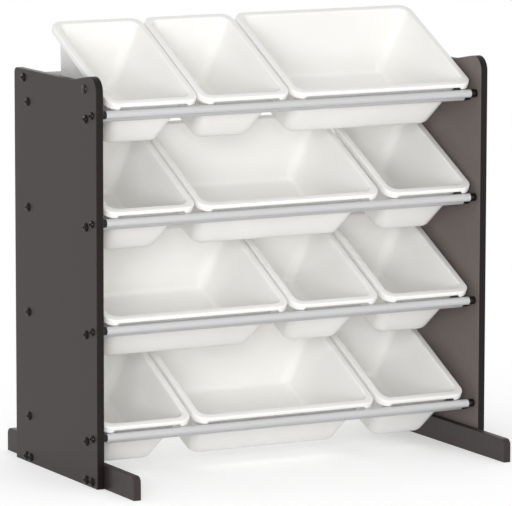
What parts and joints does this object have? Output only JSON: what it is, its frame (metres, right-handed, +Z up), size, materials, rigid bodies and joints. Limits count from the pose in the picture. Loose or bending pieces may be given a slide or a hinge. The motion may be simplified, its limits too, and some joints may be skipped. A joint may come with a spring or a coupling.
{
  "type": "toy storage organizer",
  "caption": "Toy organizer: laminated side panels on long feet, white rods between them, and plastic bins resting tilted on the rods in tiers, open towards the front.",
  "frame": {"origin": "on the floor, in the middle of the two feet's length and half way between the panels", "axes": "+X to the user's right, +Y to the rear, +Z up; the bins open up and towards -Y"},
  "size_m": [0.866, 0.569, 0.87],
  "materials": {
    "panel": "dark grey-brown printed laminate on fibreboard, satin",
    "foot": "dark grey-brown printed laminate on fibreboard, satin",
    "rod": "white powder coat on steel tube",
    "plug": "black moulded plastic",
    "screw": "black coated steel",
    "bin": "white moulded polypropylene, satin"
  },
  "bodies": {
    "frame": {"left_side_panel": "panel", "left_foot": "foot", "left_front_rod_plugs": "plug", "left_front_rod_screws": "screw", "left_second_rod_plugs": "plug", "left_second_rod_screws": "screw", "left_rear_rod_plugs": "plug", "left_rear_rod_screws": "screw", "left_backstop_rod_plug": "plug", "left_backstop_rod_screw": "screw", "left_front_foot_screws": "screw", "left_rear_foot_screws": "screw", "left_hole_cap": "plug", "right_side_panel": "panel", "right_foot": "foot", "right_front_rod_plugs": "plug", "right_front_rod_screws": "screw", "right_second_rod_plugs": "plug", "right_second_rod_screws": "screw", "right_rear_rod_plugs": "plug", "right_rear_rod_screws": "screw", "right_backstop_rod_plug": "plug", "right_backstop_rod_screw": "screw", "right_front_foot_screws": "screw", "right_rear_foot_screws": "screw", "right_hole_cap": "plug", "row1_front_rod": "rod", "row1_second_rod": "rod", "row1_rear_rod": "rod", "row2_front_rod": "rod", "row2_second_rod": "rod", "row2_rear_rod": "rod", "row3_front_rod": "rod", "row3_second_rod": "rod", "row3_rear_rod": "rod", "row4_front_rod": "rod", "row4_second_rod": "rod", "row4_rear_rod": "rod", "backstop_rod": "rod"},
    "row1_left_small_bin": {"row1_left_small_bin": "bin"},
    "row1_middle_small_bin": {"row1_middle_small_bin": "bin"},
    "row1_right_large_bin": {"row1_right_large_bin": "bin"},
    "row2_left_small_bin": {"row2_left_small_bin": "bin"},
    "row2_middle_large_bin": {"row2_middle_large_bin": "bin"},
    "row2_right_small_bin": {"row2_right_small_bin": "bin"},
    "row3_left_large_bin": {"row3_left_large_bin": "bin"},
    "row3_middle_small_bin": {"row3_middle_small_bin": "bin"},
    "row3_right_small_bin": {"row3_right_small_bin": "bin"},
    "row4_left_small_bin": {"row4_left_small_bin": "bin"},
    "row4_middle_large_bin": {"row4_middle_large_bin": "bin"},
    "row4_right_small_bin": {"row4_right_small_bin": "bin"}
  },
  "joints": [
    {"name": "row1_left_small_bin_lift", "type": "slide", "parent": "frame", "child": "row1_left_small_bin", "axis": [0, -0.4555, 0.8902], "range_m": [0, 0.25]},
    {"name": "row1_middle_small_bin_lift", "type": "slide", "parent": "frame", "child": "row1_middle_small_bin", "axis": [0, -0.4555, 0.8902], "range_m": [0, 0.25]},
    {"name": "row1_right_large_bin_lift", "type": "slide", "parent": "frame", "child": "row1_right_large_bin", "axis": [0, -0.4555, 0.8902], "range_m": [0, 0.25]},
    {"name": "row2_left_small_bin_lift", "type": "slide", "parent": "frame", "child": "row2_left_small_bin", "axis": [0, -0.4555, 0.8902], "range_m": [0, 0.04]},
    {"name": "row2_middle_large_bin_lift", "type": "slide", "parent": "frame", "child": "row2_middle_large_bin", "axis": [0, -0.4555, 0.8902], "range_m": [0, 0.04]},
    {"name": "row2_right_small_bin_lift", "type": "slide", "parent": "frame", "child": "row2_right_small_bin", "axis": [0, -0.4555, 0.8902], "range_m": [0, 0.04]},
    {"name": "row3_left_large_bin_lift", "type": "slide", "parent": "frame", "child": "row3_left_large_bin", "axis": [0, -0.4555, 0.8902], "range_m": [0, 0.04]},
    {"name": "row3_middle_small_bin_lift", "type": "slide", "parent": "frame", "child": "row3_middle_small_bin", "axis": [0, -0.4555, 0.8902], "range_m": [0, 0.04]},
    {"name": "row3_right_small_bin_lift", "type": "slide", "parent": "frame", "child": "row3_right_small_bin", "axis": [0, -0.4555, 0.8902], "range_m": [0, 0.04]},
    {"name": "row4_left_small_bin_lift", "type": "slide", "parent": "frame", "child": "row4_left_small_bin", "axis": [0, -0.4555, 0.8902], "range_m": [0, 0.04]},
    {"name": "row4_middle_large_bin_lift", "type": "slide", "parent": "frame", "child": "row4_middle_large_bin", "axis": [0, -0.4555, 0.8902], "range_m": [0, 0.04]},
    {"name": "row4_right_small_bin_lift", "type": "slide", "parent": "frame", "child": "row4_right_small_bin", "axis": [0, -0.4555, 0.8902], "range_m": [0, 0.04]}
  ]
}
